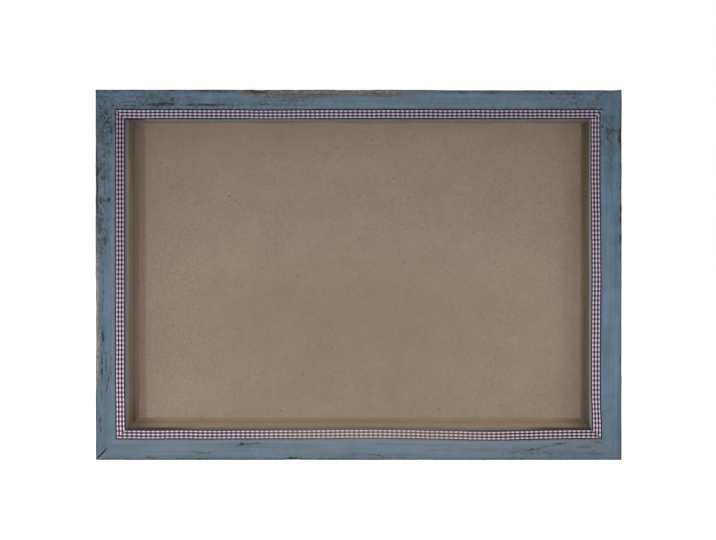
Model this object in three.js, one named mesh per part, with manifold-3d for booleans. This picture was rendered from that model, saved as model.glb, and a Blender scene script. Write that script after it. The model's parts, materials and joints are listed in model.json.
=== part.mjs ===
// Deep box picture frame in painted wood, with a woven ribbon along the inside of its face.
// Four rabbeted rails are mitred and held by V-nails. Behind their lip lie the glass, four
// spacer strips and the back panel, which six turn buttons keep in. Two D-ring hangers are
// screwed to the back of the side rails.
// Millimetres, +Z up, front towards -Y, origin under the middle of the bottom rail.
import * as THREE from "three";
import { mergeVertices } from "three/addons/utils/BufferGeometryUtils.js";
import Module from "manifold-3d";

const wasm = await Module();
wasm.setup();

// Opening and moulding
const sightWidth = 300;
const sightHeight = 200;
const faceWidth = 19; // rail width seen from the front
const lipDepth = 8; // thickness of the lip in front of the glass
const rabbetWidth = 5; // how far the rabbet runs under the lip
const outerArris = 2; // radius of the outer front edge
const sightArris = 0.3; // radius of the front edge at the opening
const backChamfer = 0.6; // on the outer back edge
const mitreGap = 0.24; // open joint between two mitred ends

// Glazing stack, from front to back
const glassThickness = 2;
const glassArris = 0.25; // ground edge of the glass
const spacerDepth = 20;
const spacerEase = 0.4; // chamfer along the spacer's edges
const panelThickness = 3;
const panelEase = 0.3;
const stackGap = 0.1; // between two pieces of the stack
const edgeGap = 0.5; // play of glass and panel in the rabbet, on each side
const spacerGap = 0.2; // play behind a spacer and at its ends

// Ribbon glued to the face
const ribbonWidth = 6;
const ribbonThickness = 0.4;
const ribbonInset = 0.3; // from the opening to the ribbon

// Turn buttons on the back of the rails
const buttonLength = 24;
const buttonPivotRadius = 5; // round end about the screw
const buttonTipRadius = 3.5;
const buttonThickness = 1;
const buttonTipRun = 6; // length of the bent finger lift
const buttonTipLift = 1.3; // how far the tip stands off the panel
const buttonSpan = 180; // between the two buttons on a long rail

// Pan-head screws of the turn buttons and the hangers
const screwHeadRadius = 3;
const screwHeadHeight = 1.8;
const screwHeadRim = 0.7; // straight side of the head below its dome
const screwShankRadius = 1.5;
const screwLength = 12;
const screwTip = 3;
const recessSpan = 3.4; // cross recess in the head
const recessWidth = 0.8;
const recessDepth = 1;
const holeGap = 0.3; // clearance of a screw, V-nail or ring in its seat

// V-nails across each mitre, driven in from the back
const outerNailSetback = 4; // from the outer edges to the point of the outer V
const innerNailSetback = 9;
const nailLeg = 6;
const nailThickness = 0.6;
const nailHeight = 12;
const nailSink = 0.2; // below the back of the rails

// D-ring hangers
const hangerHeight = 172; // ring axis above the bottom edge
const strapWidth = 7;
const strapThickness = 0.9;
const strapLength = 16.5; // from the ring axis down to the end
const strapLap = 1.2; // how much shorter the outer layer of the folded strap is
const strapHoleDrop = 10; // from the ring axis down to the screw
const strapSideGap = 0.7; // between the strap and each side of its ring
const ringWire = 1.8;
const ringDrop = 12; // from the ring axis to the far side of the ring
const ringCorner = 1.8;

// Facets of round stretches
const arrisFacets = 5;
const outlineFacets = 8;
const screwFacets = 20;
const ringSteps = 48;
const wireFacets = 8;

// Places worked out from the driving sizes
const glassFront = lipDepth + stackGap;
const spacerFront = glassFront + glassThickness + stackGap;
const panelFront = spacerFront + spacerDepth + stackGap;
const railDepth = panelFront + panelThickness + stackGap;
const frontY = -railDepth / 2;
const backY = railDepth / 2;
const seatY = backY + stackGap; // where the hardware on the back sits
const sightCentre = faceWidth + sightHeight / 2;
const wallCentre = (rabbetWidth + faceWidth) / 2; // middle of a rail's back, from the opening
const stackWidth = sightWidth + 2 * (rabbetWidth - edgeGap); // glass and panel
const stackHeight = sightHeight + 2 * (rabbetWidth - edgeGap);
const nailSetbacks = { outer: outerNailSetback, inner: innerNailSetback };
const ringWidth = strapWidth + 2 * (strapSideGap + ringWire);

const paintedWood = new THREE.MeshStandardMaterial({ color: 0x677a89, roughness: 0.75 });
const wovenRibbon = new THREE.MeshStandardMaterial({ color: 0x93818f, roughness: 0.9 });
const clearGlass = new THREE.MeshStandardMaterial({
  color: 0xe6efec,
  roughness: 0.05,
  transparent: true,
  opacity: 0.2,
});
const spacerBoard = new THREE.MeshStandardMaterial({ color: 0x7d6753, roughness: 0.9 });
const fibreboard = new THREE.MeshStandardMaterial({ color: 0x957f6a, roughness: 0.85 });
const zincSteel = new THREE.MeshStandardMaterial({
  color: 0xb4b4ae,
  roughness: 0.4,
  metalness: 0.9,
});

// A closed three.js geometry as a solid that can be joined and cut.
function toSolid(geometry) {
  const bare = new THREE.BufferGeometry();
  bare.setAttribute("position", geometry.getAttribute("position"));
  bare.setIndex(geometry.index);
  const merged = mergeVertices(bare, 1e-4);
  return new wasm.Manifold(
    new wasm.Mesh({
      numProp: 3,
      vertProperties: merged.attributes.position.array,
      triVerts: new Uint32Array(merged.index.array),
    }),
  );
}

// A solid back as a geometry with flat faces.
function toGeometry(solid) {
  const made = solid.getMesh();
  const indexed = new THREE.BufferGeometry();
  indexed.setAttribute("position", new THREE.BufferAttribute(made.vertProperties, 3));
  indexed.setIndex(new THREE.BufferAttribute(made.triVerts, 1));
  const flat = indexed.toNonIndexed();
  flat.computeVertexNormals();
  return flat;
}

function cut(geometry, cutters) {
  const left = cutters.reduce((body, cutter) => body.subtract(toSolid(cutter)), toSolid(geometry));
  return toGeometry(left);
}

function overlapOf(geometryA, geometryB) {
  return toGeometry(toSolid(geometryA).intersect(toSolid(geometryB)));
}

// An outline in X and Z as a plate that reaches forward from yBack.
function plate(outline, yBack, thickness) {
  const settings = { depth: thickness, bevelEnabled: false, curveSegments: outlineFacets };
  return new THREE.ExtrudeGeometry(outline, settings)
    .rotateX(Math.PI / 2)
    .translate(0, yBack, 0);
}

// A side profile in Y and Z carried along X, centred.
function profileBar(profile, length, facets) {
  const settings = { depth: length, bevelEnabled: false, curveSegments: facets };
  const toX = new THREE.Matrix4().makeBasis(
    new THREE.Vector3(0, 1, 0),
    new THREE.Vector3(0, 0, 1),
    new THREE.Vector3(1, 0, 0),
  );
  return new THREE.ExtrudeGeometry(profile, settings)
    .translate(0, 0, -length / 2)
    .applyMatrix4(toX);
}

// A profile bar whose ends are mitred at 45 degrees: each point's half length grows with its
// height above the opening's edge, less half of the open joint.
function mitredBar(profile, openingLength) {
  const bar = profileBar(profile, 2, arrisFacets);
  const relief = (mitreGap / 2) * Math.SQRT2;
  const points = bar.getAttribute("position");
  for (let i = 0; i < points.count; i += 1) {
    const halfLength = openingLength / 2 + points.getZ(i) - relief;
    points.setX(i, Math.sign(points.getX(i)) * halfLength);
  }
  bar.computeVertexNormals();
  return bar;
}

// A rectangle with cut corners, from its low to its high corner.
function easedRectangle(x0, y0, x1, y1, ease) {
  const outline = new THREE.Shape();
  outline.moveTo(x0 + ease, y0);
  outline.lineTo(x1 - ease, y0);
  outline.lineTo(x1, y0 + ease);
  outline.lineTo(x1, y1 - ease);
  outline.lineTo(x1 - ease, y1);
  outline.lineTo(x0 + ease, y1);
  outline.lineTo(x0, y1 - ease);
  outline.lineTo(x0, y0 + ease);
  outline.closePath();
  return outline;
}

// Rail section in depth and height above the opening: eased face, lip, rabbet and back.
function railProfile() {
  const profile = new THREE.Shape();
  profile.moveTo(frontY, sightArris);
  profile.absarc(frontY + sightArris, sightArris, sightArris, Math.PI, 1.5 * Math.PI, false);
  profile.lineTo(frontY + lipDepth, 0);
  profile.lineTo(frontY + lipDepth, rabbetWidth);
  profile.lineTo(backY, rabbetWidth);
  profile.lineTo(backY, faceWidth - backChamfer);
  profile.lineTo(backY - backChamfer, faceWidth);
  profile.lineTo(frontY + outerArris, faceWidth);
  profile.absarc(
    frontY + outerArris,
    faceWidth - outerArris,
    outerArris,
    Math.PI / 2,
    Math.PI,
    false,
  );
  profile.closePath();
  return profile;
}

// V-nail with its point at the origin of X and Z and its legs along -X and -Z.
// Extra widens it all round, which gives the slot that it sits in.
function vNail(extra) {
  const half = nailThickness / 2 + extra;
  const reach = nailLeg + extra;
  const outline = new THREE.Shape();
  outline.moveTo(-reach, -half);
  outline.lineTo(-half, -half);
  outline.lineTo(-half, -reach);
  outline.lineTo(half, -reach);
  outline.lineTo(half, 0);
  outline.absarc(0, 0, half, 0, Math.PI / 2, false);
  outline.lineTo(-reach, half);
  outline.closePath();
  const top = extra > 0 ? backY + extra : backY - nailSink;
  const foot = backY - nailSink - nailHeight - extra;
  return plate(outline, top, top - foot);
}

// Distance of a V-nail's point beyond the opening's edge.
function nailReach(setback) {
  return faceWidth - setback;
}

function pilotHole(x, z) {
  const depth = screwLength + holeGap;
  const hole = new THREE.CylinderGeometry(
    screwShankRadius + holeGap,
    screwShankRadius + holeGap,
    2 * depth,
    screwFacets,
  );
  return hole.translate(x, backY, z);
}

function railGeometry(side) {
  const cutters = side.screwsAt.map((x) => pilotHole(x, wallCentre));
  for (const setback of Object.values(nailSetbacks)) {
    const outward = nailReach(setback);
    const along = side.opening / 2 + outward;
    cutters.push(vNail(holeGap).translate(along, 0, outward));
    cutters.push(vNail(holeGap).rotateY(-Math.PI / 2).translate(-along, 0, outward));
  }
  return cut(mitredBar(railProfile(), side.opening), cutters);
}

function ribbonGeometry(side) {
  const profile = new THREE.Shape();
  profile.moveTo(frontY - ribbonThickness, ribbonInset);
  profile.lineTo(frontY, ribbonInset);
  profile.lineTo(frontY, ribbonInset + ribbonWidth);
  profile.lineTo(frontY - ribbonThickness, ribbonInset + ribbonWidth);
  profile.closePath();
  return mitredBar(profile, side.opening);
}

// Spacer strip behind the glass, flush with the opening. The long pair runs through, and the
// short pair butts against it.
function spacerGeometry(side) {
  const profile = easedRectangle(
    frontY + spacerFront,
    0,
    frontY + spacerFront + spacerDepth,
    rabbetWidth - spacerGap,
    spacerEase,
  );
  const length = side.runsThrough ? stackWidth : side.opening - 2 * spacerGap;
  return profileBar(profile, length, 1);
}

// Glass pane with ground edges, or panel with eased ones: a bevelled sheet in the rabbet.
function sheetGeometry(yFront, thickness, ease) {
  const outline = new THREE.Shape();
  const halfWidth = stackWidth / 2 - ease;
  const halfHeight = stackHeight / 2 - ease;
  outline.moveTo(-halfWidth, -halfHeight);
  outline.lineTo(halfWidth, -halfHeight);
  outline.lineTo(halfWidth, halfHeight);
  outline.lineTo(-halfWidth, halfHeight);
  outline.closePath();
  const settings = {
    depth: thickness - 2 * ease,
    bevelEnabled: true,
    bevelThickness: ease,
    bevelSize: ease,
    bevelSegments: 1,
  };
  return new THREE.ExtrudeGeometry(outline, settings)
    .rotateX(Math.PI / 2)
    .translate(0, yFront + thickness - ease, sightCentre);
}

// Turn button with its screw hole at the origin and its tip towards -Z: a teardrop outline cut
// from a strip whose end is bent up for a fingertip.
function buttonGeometry() {
  const tipCentre = -(buttonLength - buttonPivotRadius - buttonTipRadius);
  const lean = Math.asin((buttonPivotRadius - buttonTipRadius) / -tipCentre);
  const outline = new THREE.Shape();
  outline.absarc(0, 0, buttonPivotRadius, -lean, Math.PI + lean, false);
  outline.absarc(0, tipCentre, buttonTipRadius, Math.PI + lean, 2 * Math.PI - lean, false);
  outline.closePath();
  const hole = new THREE.Path();
  hole.absarc(0, 0, screwShankRadius + holeGap, 0, 2 * Math.PI, true);
  outline.holes.push(hole);
  const tallest = buttonThickness + buttonTipLift;
  const blank = plate(outline, seatY + tallest, tallest);

  const tip = tipCentre - buttonTipRadius;
  const bend = tip + buttonTipRun;
  const strip = new THREE.Shape();
  strip.moveTo(seatY, bend);
  strip.lineTo(seatY + buttonTipLift, tip);
  strip.lineTo(seatY + tallest, tip);
  strip.lineTo(seatY + buttonThickness, bend);
  strip.lineTo(seatY + buttonThickness, buttonPivotRadius);
  strip.lineTo(seatY, buttonPivotRadius);
  strip.closePath();
  return overlapOf(blank, profileBar(strip, 2 * buttonPivotRadius, 1));
}

// Pan-head wood screw along Y, the underside of its head at y = 0 and its point towards -Y.
function screwGeometry() {
  const profile = new THREE.Path();
  profile.moveTo(0, -screwLength);
  profile.lineTo(screwShankRadius, screwTip - screwLength);
  profile.lineTo(screwShankRadius, 0);
  profile.lineTo(screwHeadRadius, 0);
  profile.lineTo(screwHeadRadius, screwHeadRim);
  profile.quadraticCurveTo(screwHeadRadius, screwHeadHeight, 0, screwHeadHeight);
  const body = new THREE.LatheGeometry(profile.getPoints(arrisFacets), screwFacets);

  const span = recessSpan / 2;
  const half = recessWidth / 2;
  const cross = new THREE.Shape();
  cross.moveTo(span, -half);
  for (let quarter = 0; quarter < 4; quarter += 1) {
    const c = Math.round(Math.cos((quarter * Math.PI) / 2));
    const s = Math.round(Math.sin((quarter * Math.PI) / 2));
    cross.lineTo(span * c - half * s, span * s + half * c);
    cross.lineTo(half * c - half * s, half * s + half * c);
    cross.lineTo(half * c - span * s, half * s + span * c);
  }
  return cut(body, [plate(cross, screwHeadHeight + holeGap, recessDepth + holeGap)]);
}

const ringBore = ringWire / 2 + holeGap;
const ringAxisOut = strapThickness + ringBore; // ring axis above the hardware seat
const strapOut = 2 * strapThickness; // face of the folded strap above the seat

// Hanger strap folded round the ring, its ring axis along X at z = 0 and its tail towards -Z.
function strapGeometry() {
  const knuckle = ringBore + strapThickness;
  const neck = -Math.sqrt(knuckle ** 2 - (strapOut - ringAxisOut) ** 2);
  const neckAngle = Math.atan2(neck, strapOut - ringAxisOut);
  const profile = new THREE.Shape();
  profile.moveTo(0, -strapLength);
  profile.lineTo(0, 0);
  profile.absarc(ringAxisOut, 0, knuckle, Math.PI, neckAngle, true);
  profile.lineTo(strapOut, strapLap - strapLength);
  profile.lineTo(strapThickness, strapLap - strapLength);
  profile.lineTo(strapThickness, -strapLength);
  profile.closePath();
  const bore = new THREE.Path();
  bore.absarc(ringAxisOut, 0, ringBore, 0, 2 * Math.PI, false);
  profile.holes.push(bore);
  const folded = profileBar(profile, strapWidth, outlineFacets);

  const round = strapWidth / 2;
  const outline = new THREE.Shape();
  outline.moveTo(round, knuckle);
  outline.lineTo(-round, knuckle);
  outline.absarc(0, round - strapLength, round, Math.PI, 2 * Math.PI, false);
  outline.closePath();
  const hole = new THREE.Path();
  hole.absarc(0, -strapHoleDrop, screwShankRadius + holeGap, 0, 2 * Math.PI, true);
  outline.holes.push(hole);
  return overlapOf(folded, plate(outline, 2 * knuckle, 2 * knuckle));
}

// Centreline of the D-ring: a bar on the ring axis, two small corners, sides and a round end.
class RingLine extends THREE.Curve {
  constructor() {
    super();
    const half = (ringWidth - ringWire) / 2;
    this.line = new THREE.Path();
    this.line.moveTo(half - ringCorner, 0);
    this.line.lineTo(ringCorner - half, 0);
    this.line.absarc(ringCorner - half, -ringCorner, ringCorner, Math.PI / 2, Math.PI, false);
    this.line.lineTo(-half, half - ringDrop);
    this.line.absarc(0, half - ringDrop, half, Math.PI, 2 * Math.PI, false);
    this.line.lineTo(half, -ringCorner);
    this.line.absarc(half - ringCorner, -ringCorner, ringCorner, 0, Math.PI / 2, false);
  }

  getPoint(t, target = new THREE.Vector3()) {
    const flat = this.line.getPointAt(t % 1);
    return target.set(flat.x, 0, flat.y);
  }
}

// The ring hangs from its bar and leans on the head of the strap's screw.
function ringLean() {
  const headTop = strapOut + stackGap + screwHeadHeight;
  const restOut = headTop + ringWire / 2 + holeGap;
  return Math.asin((restOut - ringAxisOut) / ringDrop);
}

const frame = new THREE.Group();
frame.name = "picture_frame";

function addMesh(parent, name, geometry, material) {
  const mesh = new THREE.Mesh(geometry, material);
  mesh.name = name;
  parent.add(mesh);
  return mesh;
}

// Each side is modelled as if it were the top one, in a group turned about the sight centre.
// Its X then runs to the corner that the side is named with in cornerAtEnd.
const hangerAlong = hangerHeight - strapHoleDrop - sightCentre;
const sides = [
  {
    name: "top",
    turn: 0,
    opening: sightWidth,
    reach: sightHeight / 2,
    runsThrough: true,
    cornerAtEnd: "top_right",
    buttons: { left: -buttonSpan / 2, right: buttonSpan / 2 },
    hangerScrew: [],
  },
  {
    name: "right",
    turn: Math.PI / 2,
    opening: sightHeight,
    reach: sightWidth / 2,
    runsThrough: false,
    cornerAtEnd: "bottom_right",
    buttons: { middle: 0 },
    hangerScrew: [-hangerAlong],
  },
  {
    name: "bottom",
    turn: Math.PI,
    opening: sightWidth,
    reach: sightHeight / 2,
    runsThrough: true,
    cornerAtEnd: "bottom_left",
    buttons: { right: -buttonSpan / 2, left: buttonSpan / 2 },
    hangerScrew: [],
  },
  {
    name: "left",
    turn: -Math.PI / 2,
    opening: sightHeight,
    reach: sightWidth / 2,
    runsThrough: false,
    cornerAtEnd: "top_left",
    buttons: { middle: 0 },
    hangerScrew: [hangerAlong],
  },
];

for (const side of sides) {
  side.screwsAt = [...Object.values(side.buttons), ...side.hangerScrew];
  const turned = new THREE.Group();
  turned.position.z = sightCentre;
  turned.rotation.y = side.turn;
  frame.add(turned);
  const edge = new THREE.Group(); // at the middle of this side of the opening
  edge.position.z = side.reach;
  turned.add(edge);

  addMesh(edge, `rail_${side.name}`, railGeometry(side), paintedWood);
  addMesh(edge, `ribbon_${side.name}`, ribbonGeometry(side), wovenRibbon);
  addMesh(edge, `spacer_${side.name}`, spacerGeometry(side), spacerBoard);

  for (const [place, setback] of Object.entries(nailSetbacks)) {
    const nail = addMesh(edge, `v_nail_${side.cornerAtEnd}_${place}`, vNail(0), zincSteel);
    nail.position.set(side.opening / 2 + nailReach(setback), 0, nailReach(setback));
  }

  for (const [place, along] of Object.entries(side.buttons)) {
    const label = `${side.name}_${place}`;
    const button = addMesh(edge, `turn_button_${label}`, buttonGeometry(), zincSteel);
    button.position.set(along, 0, wallCentre);
    const screw = addMesh(edge, `button_screw_${label}`, screwGeometry(), zincSteel);
    screw.position.set(along, seatY + buttonThickness + stackGap, wallCentre);
  }
}

addMesh(frame, "glass_pane", sheetGeometry(frontY + glassFront, glassThickness, glassArris), clearGlass);
addMesh(frame, "back_panel", sheetGeometry(frontY + panelFront, panelThickness, panelEase), fibreboard);

for (const [name, sign] of Object.entries({ left: -1, right: 1 })) {
  const hanger = new THREE.Group();
  hanger.position.set(sign * (sightWidth / 2 + wallCentre), seatY, hangerHeight);
  frame.add(hanger);
  addMesh(hanger, `hanger_strap_${name}`, strapGeometry(), zincSteel);
  const screw = addMesh(hanger, `hanger_screw_${name}`, screwGeometry(), zincSteel);
  screw.position.set(0, strapOut + stackGap, -strapHoleDrop);
  const ring = addMesh(
    hanger,
    `hanger_ring_${name}`,
    new THREE.TubeGeometry(new RingLine(), ringSteps, ringWire / 2, wireFacets, true),
    zincSteel,
  );
  ring.position.y = ringAxisOut;
  ring.rotation.x = ringLean();
}

export default frame;
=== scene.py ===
import json
import bpy
import numpy as np
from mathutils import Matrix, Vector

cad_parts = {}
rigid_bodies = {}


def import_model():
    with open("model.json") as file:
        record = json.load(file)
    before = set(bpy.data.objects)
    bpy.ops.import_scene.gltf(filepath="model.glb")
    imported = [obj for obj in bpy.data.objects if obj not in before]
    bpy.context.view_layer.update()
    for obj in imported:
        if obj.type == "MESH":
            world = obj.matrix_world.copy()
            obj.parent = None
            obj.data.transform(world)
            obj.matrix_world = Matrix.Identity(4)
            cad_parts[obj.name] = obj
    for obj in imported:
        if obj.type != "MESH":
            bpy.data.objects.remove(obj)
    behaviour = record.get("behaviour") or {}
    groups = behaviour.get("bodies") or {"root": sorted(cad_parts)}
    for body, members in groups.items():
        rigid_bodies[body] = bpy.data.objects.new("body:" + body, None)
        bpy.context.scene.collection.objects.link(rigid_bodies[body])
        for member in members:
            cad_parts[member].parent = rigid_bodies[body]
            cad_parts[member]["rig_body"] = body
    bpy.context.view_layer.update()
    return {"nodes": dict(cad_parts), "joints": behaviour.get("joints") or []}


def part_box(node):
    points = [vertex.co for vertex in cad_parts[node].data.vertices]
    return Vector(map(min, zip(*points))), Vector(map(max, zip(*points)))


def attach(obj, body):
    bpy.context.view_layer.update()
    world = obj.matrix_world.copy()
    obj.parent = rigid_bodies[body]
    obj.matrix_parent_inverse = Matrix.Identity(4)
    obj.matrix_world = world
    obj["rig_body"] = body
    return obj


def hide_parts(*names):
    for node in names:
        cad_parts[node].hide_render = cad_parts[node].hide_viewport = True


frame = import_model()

mm = 0.001                  # everything below is in metres
white = (1.0, 1.0, 1.0, 1.0)
scene = bpy.context.scene
scene.view_settings.view_transform = "Standard"


# Places read from the construction
def corners(node):
    low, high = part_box(node)
    return np.array(low), np.array(high)


railLow, railHigh = corners("rail_top")
spacerLow, spacerHigh = corners("spacer_top")
sightLeft, sightRight = corners("rail_left")[1][0], corners("rail_right")[0][0]
sightBottom, sightTop = corners("rail_bottom")[1][2], railLow[2]
sightWidth, sightHeight = sightRight - sightLeft, sightTop - sightBottom
sightCentre = np.array([(sightLeft + sightRight) / 2, 0.0, (sightBottom + sightTop) / 2])
frontY, backY, faceWidth = railLow[1], railHigh[1], railHigh[2] - sightTop
jointPlace = {joint["name"]: np.array(joint["pos_m"]) for joint in frame["joints"]}

# Each side has its own axes: along the rail, and outwards from the opening
sides = {
    "top": {"along": (1, 0, 0), "out": (0, 0, 1), "opening": sightWidth, "reach": sightHeight / 2},
    "right": {"along": (0, 0, -1), "out": (1, 0, 0), "opening": sightHeight, "reach": sightWidth / 2},
    "bottom": {"along": (-1, 0, 0), "out": (0, 0, -1), "opening": sightWidth, "reach": sightHeight / 2},
    "left": {"along": (0, 0, 1), "out": (-1, 0, 0), "opening": sightHeight, "reach": sightWidth / 2},
}


def bySide(*values):
    # one value for each side, in the order of the table above
    return dict(zip(sides, values))


def forSide(settings, name):
    # the settings of one side, where some hold a value for each
    return {key: value[name] if isinstance(value, dict) else value for key, value in settings.items()}


def onSide(side, along, depth, out):
    # a point is the sight centre plus its three distances along the side's own axes
    axes = np.array([side["along"], (0, 1, 0), side["out"]], float)
    local = np.stack(np.broadcast_arrays(along, depth, out + side["reach"]), -1)
    return sightCentre + local @ axes


def addObject(name, data):
    thing = bpy.data.objects.new(name, data)
    scene.collection.objects.link(thing)
    return thing


def hideFrom(thing, *rays):
    for kind in rays:
        setattr(thing, "visible_" + kind, False)


# Nodes: a helper puts its node into the tree of the first socket that feeds it
def isSocket(value):
    return isinstance(value, bpy.types.NodeSocket)


def fill(node, inputs):
    # a socket is linked, and anything else is set as a plain value
    for key, value in inputs.items():
        if isSocket(value):
            node.id_data.links.new(value, node.inputs[key])
        else:
            node.inputs[key].default_value = value


def addNode(tree, kind, inputs=None, **settings):
    node = tree.id_data.nodes.new("ShaderNode" + kind)
    for key, value in settings.items():
        setattr(node, key, value)
    fill(node, inputs or {})
    return node


def joinNode(kind, inputs, **settings):
    feeding = next(value for value in inputs.values() if isSocket(value))
    return addNode(feeding, kind, inputs, **settings)


def maths(operation, *values):
    return joinNode("Math", dict(enumerate(values)), operation=operation).outputs[0]


def times(first, second, plus=0.0):
    return maths("MULTIPLY_ADD", first, second, plus)


def vectors(operation, *values):
    return joinNode("VectorMath", dict(enumerate(values)), operation=operation).outputs


def parts(value, kind="XYZ"):
    return joinNode("Separate" + kind, {0: value}).outputs


def ramp(value, low, high, toLow=0.0, toHigh=1.0):
    # a soft step: low goes to toLow, high to toHigh
    inputs = {"Value": value, "From Min": low, "From Max": high, "To Min": toLow, "To Max": toHigh}
    return joinNode("MapRange", inputs, interpolation_type="SMOOTHSTEP").outputs[0]


def noise(place, scale, detail, roughness=0.5):
    inputs = {"Vector": place, "Scale": scale, "Detail": detail, "Roughness": roughness}
    return joinNode("TexNoise", inputs).outputs[0]


def mix(share, first, second, blend="MIX"):
    inputs = {0: share, 6: first, 7: second}
    return joinNode("Mix", inputs, data_type="RGBA", blend_type=blend).outputs[2]


def coated(colour, *coats):
    # each coat is a share and a colour, and covers what lies under it by that share
    for share, tone in coats:
        colour = mix(share, colour, tone)
    return colour


def bump(height, strength, distance):
    return joinNode("Bump", {"Height": height, "Strength": strength, "Distance": distance}).outputs[0]


def objectPlace(tree):
    return addNode(tree, "TexCoord").outputs["Object"]


def mapPlace(tree):
    return addNode(tree, "UVMap", uv_map="surfaceMap").outputs[0]


def pointValues(tree, name):
    return addNode(tree, "Attribute", attribute_name=name).outputs


def srgb(red, green, blue):
    # colour values from 0 to 255 as the eye reads them, turned to linear light
    value = np.array([red, green, blue]) / 255
    linear = np.where(value <= 0.04045, value / 12.92, ((value + 0.055) / 1.055) ** 2.4)
    return (*linear.tolist(), 1.0)


# Camera and light
view = {
    "lens": 37.16,                 # millimetres
    "sensor": 36,
    "distance": 0.473,             # from the front of the rails
    "x": 0.0125,                   # right of the middle, looking straight at the frame
    "z": 0.166,                    # above the floor
    "shift": (-0.0281, -0.0955),   # brings the frame back to its place in the picture
}
camera = addObject("camera", bpy.data.cameras.new("camera"))
camera.data.lens, camera.data.sensor_width = view["lens"], view["sensor"]
camera.data.shift_x, camera.data.shift_y = view["shift"]
camera.location = (view["x"], frontY - view["distance"], view["z"])
camera.rotation_euler = (np.pi / 2, 0, 0)
scene.camera = camera

studio = {
    "ambient": 0.03,               # even light from all round
    "warm": (1.06, 1.0, 0.905),    # of the soft lamps
    "cool": (0.89, 1.0, 1.11),     # of the two small ones
    "softLamps": {                 # place, aim, size, power
        "frontLamp": ((0.0, -0.27, 0.05), (0.0, 0.0, 0.05), (0.44, 0.03), 0.47),
        "topLamp": ((0.0, -0.17, 0.70), (0.0, 0.0, 0.06), (0.5, 0.12), 1.9),
        "backLamp": ((0.25, 0.90, 0.34), (0.0, 0.0, 0.119), (0.7, 0.5), 3.2),
        "leftLamp": ((-0.75, 0.45, 0.30), (0.0, 0.0, 0.119), (0.5, 0.4), 4.4),
        "rightLamp": ((0.75, 0.45, 0.30), (0.0, 0.0, 0.119), (0.5, 0.4), 4.4),
    },
    "smallLamps": {                # place, radius, power
        "keyLamp": ((-0.215, -0.517, 0.045), 0.012, 3.1),
        "fillLamp": ((0.263, -0.317, 0.08), 0.010, 0.54),
    },
    "floorDrop": 0.0001,           # floor just under the bottom rail
    "floorSize": 2.4,
    "floorPale": (0.9, 0.9, 0.9, 1),
    "floorWhite": 0.75,            # share of plain white in what the camera sees of the floor
    "sunPower": 10.0,              # shines on the floor alone, from in front
    "sunTiltDeg": 40,
    "sunSoftDeg": 14,
    # Cards that only reflections meet: both ends, height, distance in front, colour, and where each fades
    # out along and across, as shares from its middle. A dim flag keeps white reflections off the glass,
    # and a slanting bluish card nearer to it gives the glass its faint gleam.
    "cards": {
        "flag": (((-1.3, sightCentre[2]), (1.3, sightCentre[2])), 2.6, 1.3, (0.04, 0.04, 0.045, 1),
                 ((0.24, 0.5), (0.24, 0.5))),
        "gleam": (((-0.024, 0.254), (0.258, 0.306)), 0.070, 1.0, (0.12, 0.37, 0.60, 1),
                  ((0.2, 0.5), (0.0, 0.5))),
    },
}


def bareTree(owner):
    owner.use_nodes = True
    owner.node_tree.nodes.clear()
    return owner.node_tree


def showBoth(end, share, first, second):
    # the output gets the first shader, covered by the second one's share
    both = addNode(end, "MixShader", {0: share, 1: first.outputs[0], 2: second.outputs[0]})
    fill(end, {"Surface": both.outputs[0]})


def makeWorld():
    # dim light, but camera, glossy and transmission rays see a white backdrop
    scene.world = bpy.data.worlds.new("studio")
    tree = bareTree(scene.world)
    path = addNode(tree, "LightPath").outputs
    seen = maths("MAXIMUM", path["Is Camera Ray"], path["Is Glossy Ray"])
    soft = addNode(tree, "Background", {"Color": (*studio["warm"], 1), "Strength": studio["ambient"]})
    showBoth(addNode(tree, "OutputWorld"), maths("MAXIMUM", seen, path["Is Transmission Ray"]),
             soft, addNode(tree, "Background", {"Color": white}))


def stagePlane(name, ring):
    # a flat part of the studio with an empty material, and a map from 0 to 1 both ways
    mesh = bpy.data.meshes.new(name)
    mesh.from_pydata(ring, [], [(0, 1, 2, 3)])
    mesh.uv_layers.new(name="surfaceMap").uv.foreach_set("vector", [0.0, 0.0, 1.0, 0.0, 1.0, 1.0, 0.0, 1.0])
    material = bpy.data.materials.new(name + "Surface")
    mesh.materials.append(material)
    plane = addObject(name, mesh)
    return plane, bareTree(material)


def makeFloor():
    # two planes in one place: the camera sees one, white but for the object's shadow, and the other
    # only throws light back on the object. Low lamps shine past both, and no reflection shows them.
    half, low = studio["floorSize"] / 2, -studio["floorDrop"]
    ring = [(-half, -half, low), (half, -half, low), (half, half, low), (-half, half, low)]
    planes = {}
    for name, unseen in (("floor", "diffuse"), ("floorBounce", "camera")):
        planes[name], tree = stagePlane(name, ring)
        hideFrom(planes[name], unseen, "shadow", "glossy", "transmission")
        share = times(addNode(tree, "LightPath").outputs["Is Camera Ray"], studio["floorWhite"])
        pale = addNode(tree, "BsdfDiffuse", {"Color": studio["floorPale"]})
        showBoth(addNode(tree, "OutputMaterial"), share, pale, addNode(tree, "Emission", {"Color": white}))
    sun = addObject("floorSun", bpy.data.lights.new("floorSun", "SUN"))
    sun.data.energy, sun.data.angle = studio["sunPower"], np.radians(studio["sunSoftDeg"])
    sun.rotation_euler = (np.radians(studio["sunTiltDeg"]), 0, 0)
    floorOnly = bpy.data.collections.new("floorOnly")
    floorOnly.objects.link(planes["floor"])
    sun.light_linking.receiver_collection = floorOnly


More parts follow.
